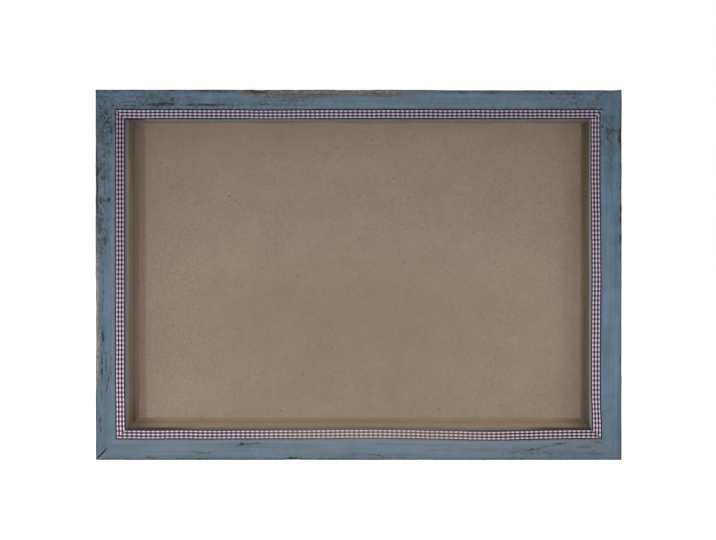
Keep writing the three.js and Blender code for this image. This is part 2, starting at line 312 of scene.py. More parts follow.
def makeCard(name, ends, height, distance, colour, falls):
    # an upright strip between its ends, whose glow is the product of both fades
    (x0, z0), (x1, z1) = ends
    y, half = frontY - distance, height / 2
    ring = [(x0, y, z0 - half), (x1, y, z1 - half), (x1, y, z1 + half), (x0, y, z0 + half)]
    card, tree = stagePlane(name, ring)
    hideFrom(card, "camera", "diffuse", "shadow", "transmission")
    along, across = (ramp(maths("ABSOLUTE", maths("SUBTRACT", way, 0.5)), *fall, 1.0, 0.0)
                     for way, fall in zip(parts(mapPlace(tree)), falls))
    showBoth(addNode(tree, "OutputMaterial"), times(along, across), addNode(tree, "BsdfTransparent"),
             addNode(tree, "Emission", {"Color": colour}))


def addLamp(name, kind, place, power, colour):
    lamp = addObject(name, bpy.data.lights.new(name, kind))
    lamp.data.energy, lamp.data.color, lamp.location = power, colour, place
    hideFrom(lamp, "camera", "glossy", "transmission")
    return lamp


def makeLamps():
    for name, (place, aim, size, power) in studio["softLamps"].items():
        lamp = addLamp(name, "AREA", place, power, studio["warm"])
        lamp.data.shape = "RECTANGLE"
        lamp.data.size, lamp.data.size_y = size
        x, y, z = np.subtract(aim, place)          # the lamp's -Z looks along this line
        lamp.rotation_euler = (np.arctan2(np.hypot(x, y), -z), 0, np.arctan2(-x, y))
    for name, (place, radius, power) in studio["smallLamps"].items():
        addLamp(name, "POINT", place, power, studio["cool"]).data.shadow_soft_size = radius


makeWorld()
makeFloor()
for name, settings in studio["cards"].items():
    makeCard(name, *settings)
makeLamps()
print("camera, floor and lamps made")


# Arrays and meshes
def smoothStep(low, high, value):
    # 0 below low, 1 above high, and the cubic 3t^2 - 2t^3 between
    t = np.clip((value - low) / (high - low), 0, 1)
    return t * t * (3 - 2 * t)


def bell(value, width):
    # 1 at 0, falling off as exp of minus the squared share of the width
    return np.exp(-(value / width) ** 2)


def latticeNoise(seed, x, y, size=64):
    # random values on a whole-number lattice, blended between its points by the same cubic
    table = np.random.default_rng(seed).random((size, size))
    cellX, cellY = np.floor(x).astype(int), np.floor(y).astype(int)
    blendX, blendY = smoothStep(0, 1, x - cellX), smoothStep(0, 1, y - cellY)
    x0, x1, y0, y1 = cellX % size, (cellX + 1) % size, cellY % size, (cellY + 1) % size
    low = table[x0, y0] * (1 - blendX) + table[x1, y0] * blendX
    high = table[x0, y1] * (1 - blendX) + table[x1, y1] * blendX
    return low * (1 - blendY) + high * blendY


sharpDeg = 40               # a crease steeper than this stays sharp


def makePiece(name, node, grid, along, across, material, closedAlong=False):
    # grid[i, j] is a point, i along the path and j round the closed section: neighbours make
    # quads, and an open path ends in flat caps. along[i, j] and across[j] are its map in metres.
    # A piece of several shells has grid[k, i, j].
    shells = grid.reshape(-1, *grid.shape[-3:])
    count, rows, cols = shells.shape[:3]
    k = np.arange(count)[:, None, None]
    i = np.arange(rows if closedAlong else rows - 1)[None, :, None]
    j = np.arange(cols)[None, None, :]

    def at(row, col):
        return (k * rows + row % rows) * cols + col % cols

    corner = [at(i, j), at(i + 1, j), at(i + 1, j + 1), at(i, j + 1)]
    points = np.stack(np.broadcast_arrays(*corner), -1)
    lift = np.append(across, 2 * across[-1] - across[-2])      # the section's map goes on past its seam
    mapAcross = np.broadcast_to(lift[np.stack([j, j, j + 1, j + 1], -1)], points.shape).ravel()
    points = points.ravel()
    counts = np.full(len(points) // 4, 4)
    if not closedAlong:
        ends = np.concatenate([at(0, j), at(rows - 1, j)[..., ::-1]], 1).ravel()
        points = np.concatenate([points, ends])
        mapAcross = np.concatenate([mapAcross, across[ends % cols]])
        counts = np.concatenate([counts, np.full(2 * count, cols)])
    mesh = bpy.data.meshes.new(name)
    mesh.vertices.add(count * rows * cols)
    mesh.vertices.foreach_set("co", shells.astype(np.float32).ravel())
    mesh.loops.add(len(points))
    mesh.loops.foreach_set("vertex_index", points.astype(np.int32))
    mesh.polygons.add(len(counts))
    mesh.polygons.foreach_set("loop_start", (np.cumsum(counts) - counts).astype(np.int32))
    mesh.update(calc_edges=True)
    flat = np.stack([np.broadcast_to(along, shells.shape[:3]).ravel()[points], mapAcross], -1)
    mesh.uv_layers.new(name="surfaceMap").uv.foreach_set("vector", flat.astype(np.float32).ravel())
    mesh.polygons.foreach_set("use_smooth", np.ones(len(counts), bool))
    mesh.set_sharp_from_angle(angle=np.radians(sharpDeg))
    mesh.materials.append(material)
    piece = addObject(name, mesh)
    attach(piece, frame["nodes"][node]["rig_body"])
    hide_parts(node)
    return piece


def paintPoints(piece, **layers):
    # one value or four at each point, kept as attributes
    for name, values in layers.items():
        kind, field = ("FLOAT_COLOR", "color") if values.ndim > 2 else ("FLOAT", "value")
        layer = piece.data.attributes.new(name, kind, "POINT")
        layer.data.foreach_set(field, values.astype(np.float32).ravel())


def straight(start, end, normal, count):
    # points on a line of the section, with one outward direction for all of them
    t = np.linspace(0, 1, count, endpoint=False)[:, None]
    line = np.array(start) + (np.array(end) - np.array(start)) * t
    return np.hstack([line, np.broadcast_to(normal, line.shape)])


def arc(centre, radius, fromDeg, toDeg, count):
    # points on an arc of the section, which face away from its centre
    angle = np.radians(np.linspace(fromDeg, toDeg, count, endpoint=False))
    facing = np.stack([np.cos(angle), np.sin(angle)], -1)
    return np.hstack([np.array(centre) + radius * facing, facing])


def lengthRound(section):
    # distance run along the section up to each of its points
    return np.concatenate([[0], np.cumsum(np.linalg.norm(np.diff(section, axis=0), axis=1))])


# Looks that several materials share
def makeGroup(name, settings, build):
    # build turns the group's vector and plain values into its results, all of them values
    group = bpy.data.node_groups.new(name, "ShaderNodeTree")

    def addSocket(label, way, kind="Float"):
        return group.interface.new_socket(label, in_out=way, socket_type="NodeSocket" + kind)

    addSocket("Vector", "INPUT", "Vector")
    for label, value in settings.items():
        addSocket(label, "INPUT").default_value = value
    results = build(group.nodes.new("NodeGroupInput").outputs)
    for label in results:
        addSocket(label, "OUTPUT")
    fill(group.nodes.new("NodeGroupOutput"), results)
    return group


def useGroup(group, place, **settings):
    return joinNode("Group", {"Vector": place, **settings}, node_tree=group).outputs


def grainNodes(start):
    # streaks that run along a rail or strip: long soft ones for tone, short fine ones for pores
    scale = joinNode("CombineXYZ", {0: start["Stretch"], 1: start["Fineness"], 2: start["Fineness"]})
    drawn = vectors("MULTIPLY", start["Vector"], scale.outputs[0])[0]
    tone = noise(drawn, 0.35, 4.0)
    pores = ramp(noise(drawn, 1.6, 3.0), 0.56, 0.74)
    return {"Tone": tone, "Pores": pores, "Height": times(pores, -0.6, tone)}


def fibreNodes(start):
    # pressed fibre: a cloudy tone, pale hair-like fibres and a few dark specks
    place = start["Vector"]
    tone = times(noise(place, 1000.0, 2.0), 0.75, times(noise(place, 60.0, 5.0, 0.65), 0.35))
    cells = joinNode("TexVoronoi", {"Vector": place, "Scale": 260.0, "Randomness": 1.0}).outputs
    small = ramp(cells["Distance"], 0.10, 0.22, 1.0, 0.0)
    rare = ramp(parts(cells["Color"], "Color")[0], maths("SUBTRACT", 1.0, start["Specks"]), 1.0)
    bent = noise(place, 120.0, 1.0).node.outputs["Color"]
    pulled = vectors("MULTIPLY_ADD", bent, (0.02, 0.02, 0.02), place)[0]
    hair = maths("ABSOLUTE", maths("SUBTRACT", noise(pulled, 420.0, 1.0), 0.5))
    fibres = ramp(hair, 0.0, 0.03, 1.0, 0.0)
    return {"Tone": tone, "Specks": times(small, rare), "Fibres": fibres, "Height": times(fibres, 0.25, tone)}


def zincNodes(start):
    # plated steel: cloudy bloom and fine scratches
    cloud = noise(start["Vector"], 350.0, 5.0, 0.6)
    bloom = times(ramp(cloud, 0.42, 0.68), start["Bloom"])
    drawn = vectors("MULTIPLY", start["Vector"], (300.0, 4000.0, 6000.0))[0]
    scratch = ramp(noise(drawn, 1.0, 2.0), 0.60, 0.72)
    return {"Tone": times(scratch, -0.25, maths("SUBTRACT", 1.0, bloom)),
            "Roughness": times(bloom, 0.35, times(scratch, 0.12, 0.26)),
            "Height": times(scratch, -0.5, cloud)}


woodGrain = makeGroup("woodGrain", {"Stretch": 30.0, "Fineness": 900.0}, grainNodes)
boardFibre = makeGroup("boardFibre", {"Specks": 0.5}, fibreNodes)
zincPlate = makeGroup("zincPlate", {"Bloom": 0.5}, zincNodes)


def newMaterial(name):
    material = bpy.data.materials.new(name)
    material.use_nodes = True
    tree = material.node_tree
    return material, tree, tree.nodes["Principled BSDF"]


paint = {
    "slate": srgb(94, 116, 138),
    "slateGreen": srgb(86, 109, 124),
    "slateLilac": srgb(100, 112, 130),
    "faded": srgb(120, 126, 129),
    "thin": srgb(75, 86, 90),
    "thinBrown": srgb(86, 84, 80),
    "rubbedDark": srgb(38, 36, 35),
    "rubbedGreen": srgb(60, 67, 67),
    # grime, and the painted shadow line beside the ribbon
    "soil": srgb(47, 54, 60),
    # colour of the painted shade on the lip
    "lipShade": srgb(50, 44, 48),
    "bareWood": srgb(160, 155, 146),
    "bareGrey": srgb(106, 101, 94),
    "rawPine": srgb(176, 148, 112),
    "rawPineDark": srgb(146, 116, 82),
    "sightPale": srgb(158, 156, 166),
}


def makePaintedWood():
    # slate paint over wood. The point attribute wear gives rubbed dark, bare wood, raw back and pale lip; the
    # soil and shade attribute gives grime along edges, a painted shadow line beside the ribbon and painted
    # shade on the lip, and faded gives bleached paint. Flecks drawn out along the grain break the marks up,
    # each with a fringe of thin paint.
    material, tree, shader = newMaterial("paintedWood")
    place, around, wear = mapPlace(tree), objectPlace(tree), pointValues(tree, "wear")
    soil, faded = (pointValues(tree, name)["Fac"] for name in ("soil", "faded"))
    darkMark, bareMark, rawBack = parts(wear["Color"], "Color")
    grain = useGroup(woodGrain, place, Stretch=40.0, Fineness=1100.0)
    cloud, blot = noise(around, 75.0, 4.0), noise(around, 210.0, 4.0)
    grit = noise(around, 620.0, 3.0, 0.6)
    fleck = noise(vectors("MULTIPLY", place, (330.0, 1050.0, 1.0))[0], 1.0, 4.0, 0.65)
    ragged = times(fleck, 2.4, -1.2)
    broken = times(grit, 0.6, times(fleck, 0.4))

    coat = coated(
        paint["slateGreen"],
        (ramp(cloud, 0.40, 0.66), paint["slate"]),
        (ramp(blot, 0.48, 0.66, 0.0, 0.8), paint["slateLilac"]),
        (ramp(grain["Tone"], 0.38, 0.56, 0.26, 0.0), paint["rubbedGreen"]),
        (times(grain["Pores"], 0.22), paint["rubbedDark"]),
        (ramp(fleck, 0.64, 0.74, 0.0, 0.5), paint["rubbedDark"]),
        (faded, paint["faded"]),
        (times(soil, ramp(broken, 0.43, 0.57, 0.35, 1.1)), paint["soil"]))
    fringe = times(ragged, 0.5, maths("MAXIMUM", darkMark, bareMark))
    thinTone = mix(ramp(bareMark, 0.04, 0.3), paint["thin"], paint["thinBrown"])
    bare = ramp(times(ragged, 0.6, bareMark), 0.30, 0.62, 0.0, 0.9)
    uneven = times(grain["Tone"], 0.5, times(broken, 0.5))
    bareTone = coated(
        paint["bareGrey"],
        (ramp(uneven, 0.42, 0.57), paint["bareWood"]),
        (times(soil, ramp(broken, 0.42, 0.58, 1.0, 0.6)), paint["thinBrown"]))
    rubbed = ramp(maths("ADD", darkMark, ragged), 0.36, 0.74, 0.0, 0.92)
    rubTone = mix(ramp(darkMark, 0.3, 0.7), paint["rubbedGreen"], paint["rubbedDark"])
    # the lip's pale paint, darkened by its painted shade
    pale = coated(paint["sightPale"], (times(grain["Pores"], 0.4), paint["slate"]), (soil, paint["lipShade"]))
    pine = coated(
        paint["rawPineDark"],
        (ramp(grain["Tone"], 0.38, 0.66), paint["rawPine"]),
        (times(grain["Pores"], 0.35), paint["bareGrey"]))
    skin = coated(
        coat, (ramp(fringe, 0.12, 0.60, 0.0, 0.75), thinTone), (bare, bareTone), (rubbed, rubTone),
        (wear["Alpha"], pale), (rawBack, pine))
    worn = maths("MAXIMUM", maths("MAXIMUM", bare, rubbed), rawBack)
    relief = times(worn, -0.6, maths("ADD", grain["Height"], blot))
    fill(shader, {
        "Base Color": skin, "Roughness": times(worn, 0.25, times(cloud, 0.2, 0.58)),
        "Specular IOR Level": 0.2,         # chalky, with little shine
        "Normal": bump(relief, 0.4, 0.15 * mm)})
    return material


ribbonLook = {
    "checkAlong": 3.026 * mm,      # one light and one dark check
    "checkAcross": 2.01 * mm,
    "thread": 0.20 * mm,
    "white": srgb(222, 212, 223),
    "lightRow": srgb(150, 131, 149),
    "darkRow": srgb(84, 58, 76),
    "shade": srgb(44, 30, 42),     # between the threads
    "plum": srgb(1, 0, 2),
    "bleached": srgb(150, 138, 116),
    "edge": (2.27 * mm, 2.47 * mm),        # the woven edge is plain plum from here outwards: a dark selvedge, widened into a painted shadow along both edges
}


def makeGingham():
    # light and dark bands of threads both ways give four tones of check, with the weave on top; a point
    # attribute tints it, in part with painted light that falls off towards the top and the right, and
    # bleaches it
    material, tree, shader = newMaterial("ginghamWeave")
    place, aged = mapPlace(tree), pointValues(tree, "aged")
    along, across = parts(place)[:2]

    def band(value, pitch, low, high):
        return ramp(maths("COSINE", times(value, 2 * np.pi / pitch)), low, high)

    def threads(value):
        return maths("SINE", times(value, np.pi / ribbonLook["thread"]))

    column = band(along, ribbonLook["checkAlong"], -0.3, 0.3)
    row = band(across, ribbonLook["checkAcross"], -0.15, 0.4)
    over = times(threads(along), threads(across))
    slub = noise(place, 1800.0, 2.0)
    cloth = coated(
        mix(column, ribbonLook["plum"], ribbonLook["darkRow"]),
        (row, mix(column, ribbonLook["lightRow"], ribbonLook["white"])),
        (ramp(maths("ABSOLUTE", across), *ribbonLook["edge"]), ribbonLook["plum"]),
        (ramp(times(over, 0.5, slub), 0.1, 0.9, 0.25, 0.0), ribbonLook["shade"]),
        (aged["Alpha"], ribbonLook["bleached"]))
    hump = times(slub, 0.3, maths("ABSOLUTE", over))
    fill(shader, {
        "Base Color": mix(1.0, cloth, aged["Color"], "MULTIPLY"), "Roughness": 0.85,
        "Sheen Weight": 0.1, "Sheen Roughness": 0.5, "Normal": bump(hump, 0.5, 0.05 * mm)})
    return material


board = {
    "brown": srgb(155, 131, 112),
    "brownDeep": srgb(137, 113, 95),
    "fibre": srgb(164, 141, 120),
    "speck": srgb(84, 68, 54),
    # oval stretches of the front: middle, half width and half height, tone. The first is painted shade, a
    # little deeper in the middle; the lower corners carry painted light.
    "paintedLightPatches": [((0.0, 0.0, 0.088), (0.150, 0.062), (0.85, 0.835, 0.81, 1)),
                ((-0.130, 0.0, 0.030), (0.062, 0.036), (1.12, 1.12, 1.15, 1)),
                ((0.115, 0.0, 0.030), (0.055, 0.034), (1.06, 1.07, 1.06, 1))],
    # heights between which a tone sets in: painted shade towards the top edge, and painted light at the
    # bottom
    "bands": [((0.186, 0.222), (0.84, 0.81, 0.75, 1)),
              ((0.040, 0.019), (1.13, 1.135, 1.16, 1))],
    # tones of each spacer in front and at the back; the differences between sides are painted light and
    # shade, the upward-facing bottom one lit and the right one shaded
    "spacerFront": bySide((0.22, 0.20, 0.18), (0.160, 0.139, 0.112), (0.53, 0.42, 0.32), (0.275, 0.24, 0.20)),
    "spacerBack": bySide((0.232, 0.18, 0.14), (0.206, 0.146, 0.093), (0.485, 0.362, 0.242),
                         (0.270, 0.166, 0.094)),
    "spacerCornerShade": bySide(0.9, 0.9, 0.62, 0.82),            # painted shade in the corners
    "spacerTurn": 0.42,            # share of the depth where the front's tone gives way to the back's
}


def makeFibreboard():
    # pressed fibre with dark specks; bands and ovals of painted light and shade tone its front
    material, tree, shader = newMaterial("brownFibreboard")
    place = objectPlace(tree)
    y, z = parts(place)[1:]
    fibre = useGroup(boardFibre, place, Specks=0.25)
    tone = coated(
        board["brownDeep"],
        (ramp(fibre["Tone"], 0.32, 0.78), board["brown"]),
        (times(fibre["Fibres"], 0.05), board["fibre"]))
    shades = [(ramp(z, *span), shade) for span, shade in board["bands"]]
    for middle, (halfWide, halfHigh), shade in board["paintedLightPatches"]:
        offset = vectors("SUBTRACT", place, middle)[0]
        offset = vectors("MULTIPLY", offset, (1 / halfWide, 0.0, 1 / halfHigh))[0]
        shades.append((ramp(vectors("LENGTH", offset)["Value"], 0.1, 1.1, 1.0, 0.0), shade))
    panelMiddle = sum(corner[1] for corner in corners("back_panel")) / 2
    inFront = maths("LESS_THAN", y, panelMiddle)           # the back has an even tone
    for mask, shade in shades:
        tone = mix(times(mask, inFront), tone, shade, "MULTIPLY")
    fill(shader, {
        "Base Color": mix(times(fibre["Specks"], 0.75), tone, board["speck"]),
        "Roughness": ramp(fibre["Tone"], 0.38, 0.72, 0.78, 0.7),
        "Normal": bump(fibre["Height"], 0.03, 0.03 * mm)})
    return material


def makeSpacerBoard(side):
    # greyed where it meets the glass, brown towards the back, with the same pressed fibre; each side's tones
    # carry painted light and shade
    material, tree, shader = newMaterial("spacerBoard_" + side)
    look = forSide(board, side)
    place = objectPlace(tree)
    x, y, z = parts(place)
    fibre = useGroup(boardFibre, place, Specks=0.1)
    grain = useGroup(woodGrain, place, Stretch=300.0, Fineness=500.0)
    turnAt = spacerLow[1] + look["spacerTurn"] * (spacerHigh[1] - spacerLow[1])
    turned = ramp(times(grain["Tone"], 1.5 * mm, y), turnAt - 2 * mm, turnAt + 3.5 * mm)
    tone = mix(turned, (*look["spacerFront"], 1.0), (*look["spacerBack"], 1.0))
    run, middle = (x, 0.0) if side in ("top", "bottom") else (z, sightCentre[2])
    half = sides[side]["opening"] / 2
    # painted shade towards the corners
    cornerShade = ramp(maths("ABSOLUTE", maths("SUBTRACT", run, middle)), half - 22 * mm, half - 1 * mm)
    tone = mix(cornerShade, tone, (*(look["spacerCornerShade"],) * 3, 1.0), "MULTIPLY")
    fill(shader, {
        "Base Color": mix(ramp(fibre["Tone"], 0.42, 0.70, 0.2, 0.0), tone, board["speck"]),
        "Roughness": 0.85, "Normal": bump(fibre["Height"], 0.15, 0.1 * mm)})
    return material


glass = {
    "clean": (0.97, 0.985, 0.98, 1),
    "smeared": (0.945, 0.95, 0.945, 1),
    "passing": (0.93, 0.95, 0.94, 1),      # what light keeps on its way through
}


def makeClearGlass():
    # clear for shadow and diffuse rays, so that lamps light the panel through it
    material, tree, shader = newMaterial("clearGlass")
    haze = noise(objectPlace(tree), 14.0, 6.0)
    fill(shader, {
        "Base Color": mix(ramp(haze, 0.45, 0.75), glass["clean"], glass["smeared"]), "Roughness": 0.0,
        "Transmission Weight": 1.0, "IOR": 1.5, "Normal": bump(haze, 0.04, 0.05 * mm)})
    path = addNode(tree, "LightPath").outputs
    passing = maths("MAXIMUM", path["Is Shadow Ray"], path["Is Diffuse Ray"])
    clear = addNode(tree, "BsdfTransparent", {"Color": glass["passing"]})
    showBoth(tree.nodes["Material Output"], passing, shader, clear)
    return material


zinc = {                           # bright tone, dim tone, bloom
    "pressedZinc": (srgb(158, 159, 156), srgb(124, 125, 122), 0.6),
    "screwZinc": (srgb(164, 161, 148), srgb(118, 114, 102), 0.45),
    "wireZinc": (srgb(162, 163, 162), srgb(126, 127, 126), 0.35),
    "nailSteel": (srgb(136, 134, 130), srgb(80, 75, 70), 0.9),
}


def makeZinc(name):
    material, tree, shader = newMaterial(name)
    bright, dim, bloom = zinc[name]
    plate = useGroup(zincPlate, objectPlace(tree), Bloom=bloom)
    fill(shader, {
        "Base Color": mix(plate["Tone"], dim, bright), "Roughness": plate["Roughness"], "Metallic": 1.0,
        "Normal": bump(plate["Height"], 0.15, 0.03 * mm)})
    return material


paintedWood = makePaintedWood()
gingham = makeGingham()
fibreboard = makeFibreboard()
spacerBoards = {"spacer_" + side: makeSpacerBoard(side) for side in sides}
clearGlass = makeClearGlass()
pressedZinc, screwZinc, wireZinc, nailSteel = (makeZinc(name) for name in zinc)
print("materials made")


# Where the ribbon lies, which the dirt on the rails follows
ribbon = {
    "width": 6.2 * mm,
    "thickness": 0.4 * mm,
    "inset": 0.2 * mm,             # from the opening
    "step": 0.6 * mm,
    "mitreShy": 0.04 * mm,         # its end stops this short of the mitre
    "pucker": 0.05 * mm,           # the weave draws in between checks
    "ripple": 0.07 * mm,
    "waveLength": 18 * mm,         # of the waves of its edges
    "lumps": (9 * mm, 5 * mm),     # and of those of its face, along and across
    "selvedge": 0.06 * mm,         # thicker woven edge, past a share of the half width
    "selvedgeFrom": 0.84,
    "counts": (40, 3, 8, 3),       # points on the face, an edge, the back and the other edge
    "firstCheck": bySide(0.96 * mm, 0.04 * mm, 1.62 * mm, 1.71 * mm),
    # tint of each ribbon, in part painted shade, deepest on the top one
    "tint": bySide((0.77, 0.82, 0.84), (0.99, 1.0, 1.04), (0.94, 0.955, 0.88), (0.97, 0.945, 0.98)),
    # share of the tint at the left or bottom end, and at the other: painted light that falls off towards the
    # top and the right
    "paintedLightEnds": bySide((1.08, 0.88), (1.08, 0.76), ((1.13, 1.13, 1.24), (0.97, 0.98, 1.0)), (1.34, 0.61)),
    "fadedBy": bySide(0, 0, 0.24, 0),      # bleached round a place, over a span
    "fadedAt": 8.0 * mm,
    "fadedSpan": 70 * mm,
    "frayedEnd": bySide(0, 1, -1, 0),      # one corner was cut badly
    "fray": 0.5 * mm,
    "frayDark": 0.8,
}


def ribbonDrift(name, place):
    # how far the glued ribbon lies from its drawn line, outwards, as slow waves of the place along it
    at = place / mm
    drift = {
        "top": -0.36 - 0.20 * bell(at + 57, 26),
        "right": (-1.58 + 0.42 * bell(at + 2, 34) + 0.75 * smoothStep(-75, -100, at)
                  - 0.24 * smoothStep(30, 75, at)),
        "bottom": (-1.38 - 0.52 * bell(at - 2, 34) + 0.72 * bell(at - 84, 30)
                   - 0.3 * smoothStep(105, 150, at)),
        "left": -0.76 - 0.40 * smoothStep(-70, -104, at),
    }
    return drift[name] * mm


def ribbonSlip(name, place):
    # how far its checks lie along it from an even spacing, where it was pulled or pushed when glued
    at = place / mm
    slip = {
        "top": -0.08 + 0.45 * smoothStep(-45, -65, at) + 0.5 * smoothStep(-118, -145, at),
        "right": 0.65 - 1.68 * smoothStep(-48, 100, at),
        "bottom": 0.15,
        "left": 0.36 - 0.74 * smoothStep(20, 92, at) - 0.45 * smoothStep(-75, -108, at),
    }
    return slip[name] * mm


# Rails
moulding = {
    "outerArris": 2.0 * mm,
    "sightArris": 0.3 * mm,
    "backChamfer": 0.6 * mm,
    "glassGap": 0.1 * mm,          # between the lip and the glass
    "spacerGap": 0.2 * mm,         # between a spacer and the rabbet
    "step": 0.6 * mm,              # length of one stretch along the rail
    "closeSteps": (0.06, 0.14, 0.26, 0.42),        # a few closer ones: millimetres from a mitre
    "mitreShy": 0.03 * mm,         # a rail's end stops this short of the mitre
    "mitreSoft": 0.25 * mm,        # rounding of the painted edge at the open mitre
    "softDepth": 0.03 * mm,
    "gapEnd": bySide(0, 0, 1, -1),         # the ends whose joint has opened
    "openMitre": 0.36 * mm,        # at the outer end of that joint
    "openFrom": 10.5 * mm,         # where that gap starts, from the opening
    "openDepth": 9.0 * mm,
    "crackFrom": (9.5 * mm, 13.5 * mm),
    "crackWide": 0.75 * mm,
    "pitDepth": 0.10 * mm,         # where paint is rubbed through
    "bareDepth": 0.22 * mm,
    "streakDepth": 0.03 * mm,
    "wander": 0.16 * mm,           # unevenness of the outer edge
    "wanderReach": 4.0,            # millimetres in from it
    "edgeWorn": bySide(0.33 * mm, 0, 0, 0),        # more off the right half of the top edge
    "wornFrom": (30, 75),
    "wornFade": 6 * mm,            # none at the mitre
    "streak": (7, 0.5),            # length and width of the noise that breaks up marks, in millimetres
    "fineStreak": (1.7, 0.32),
    "sideStreak": (16, 5),
    "slowWave": (11, 7),
    "nailSlots": (10.0 * mm, 15.0 * mm),
    "slotReach": 6.3 * mm,
    "slotHalf": 0.6 * mm,
    "slotDepth": 0.9 * mm,
    "slotSoft": (0.2 * mm, 0.3 * mm),              # of its sides and of its end
    "pastRibbon": (4.0 * mm, 4.4 * mm),            # the paint shows from here outwards
    "rimSoil": bySide(0.85, 1.0, 0.8, 0.75),
    "rimWide": bySide(1.6, 1.5, 1.7, 1.0),         # millimetres
    "bareClean": bySide(0.1, 0.85, 0.85, 0.8),     # share of soil off bare wood
    "bareSoil": bySide(1.0, 0.3, 0.3, 0.34),       # dirt ground into bare wood
    "cornerSoil": bySide((0.20, 0.22), (0.04, 0.32), (0.0, 0.12), (0.0, 0.30)),
    "cornerReach": 38 * mm,
    "allSoil": bySide(0.12, 0.01, 0.0, 0.03),
    "glueSoil": bySide(0.35, 0.15, 0.2, 0.1),      # along the ribbon
    "glueWide": 1.6,
    "glueLineAndShadow": bySide(0.8, 0.4, 0.5, 0.34),       # a dark line close to its edge: glue, and the ribbon's painted shadow
    "glueLineAndShadowAt": (0.15, 0.4),     # millimetres out from the ribbon, and width
    "gluePale": bySide(0.25, 0.1, 0.45, 0.35),     # and a pale one further out
    "gluePaleAt": (1.6, 1.0),
    "fade": bySide(0.06, 0.04, 0.26, 0.08),
    "lipRibbonShadow": bySide(1.0, 0.0, 0.75, 0.75),      # painted shadow of the ribbon on the lip's front
    "lipTurn": bySide((3.0, 5.2), (1.2, 3.4), (1.2, 4.0), (1.5, 3.3)),
    # painted shade over the whole lip
    "lipShadeAll": bySide(0.30, 0.0, 0.15, 0.16),
    "lipEndShade": bySide(0, 0, 0.75, 0),              # painted shade towards both ends
    "lipEndShadeFrom": (faceWidth + 34 * mm, faceWidth + 4 * mm),
    "lipCornerShadow": bySide(1, 0, 0, 0),               # and painted shadow in the left corner
    "lipCornerShadowFrom": (15 * mm, 10 * mm),
    "lipReach": 1 * mm,            # the lip's inner face lies within this of the opening
}
sectionCounts = {"front": 66, "arris": 11, "side": 24, "chamfer": 3, "back": 44, "rabbet": 9,
                 "ledge": 5, "sight": 9, "sightArris": 4}

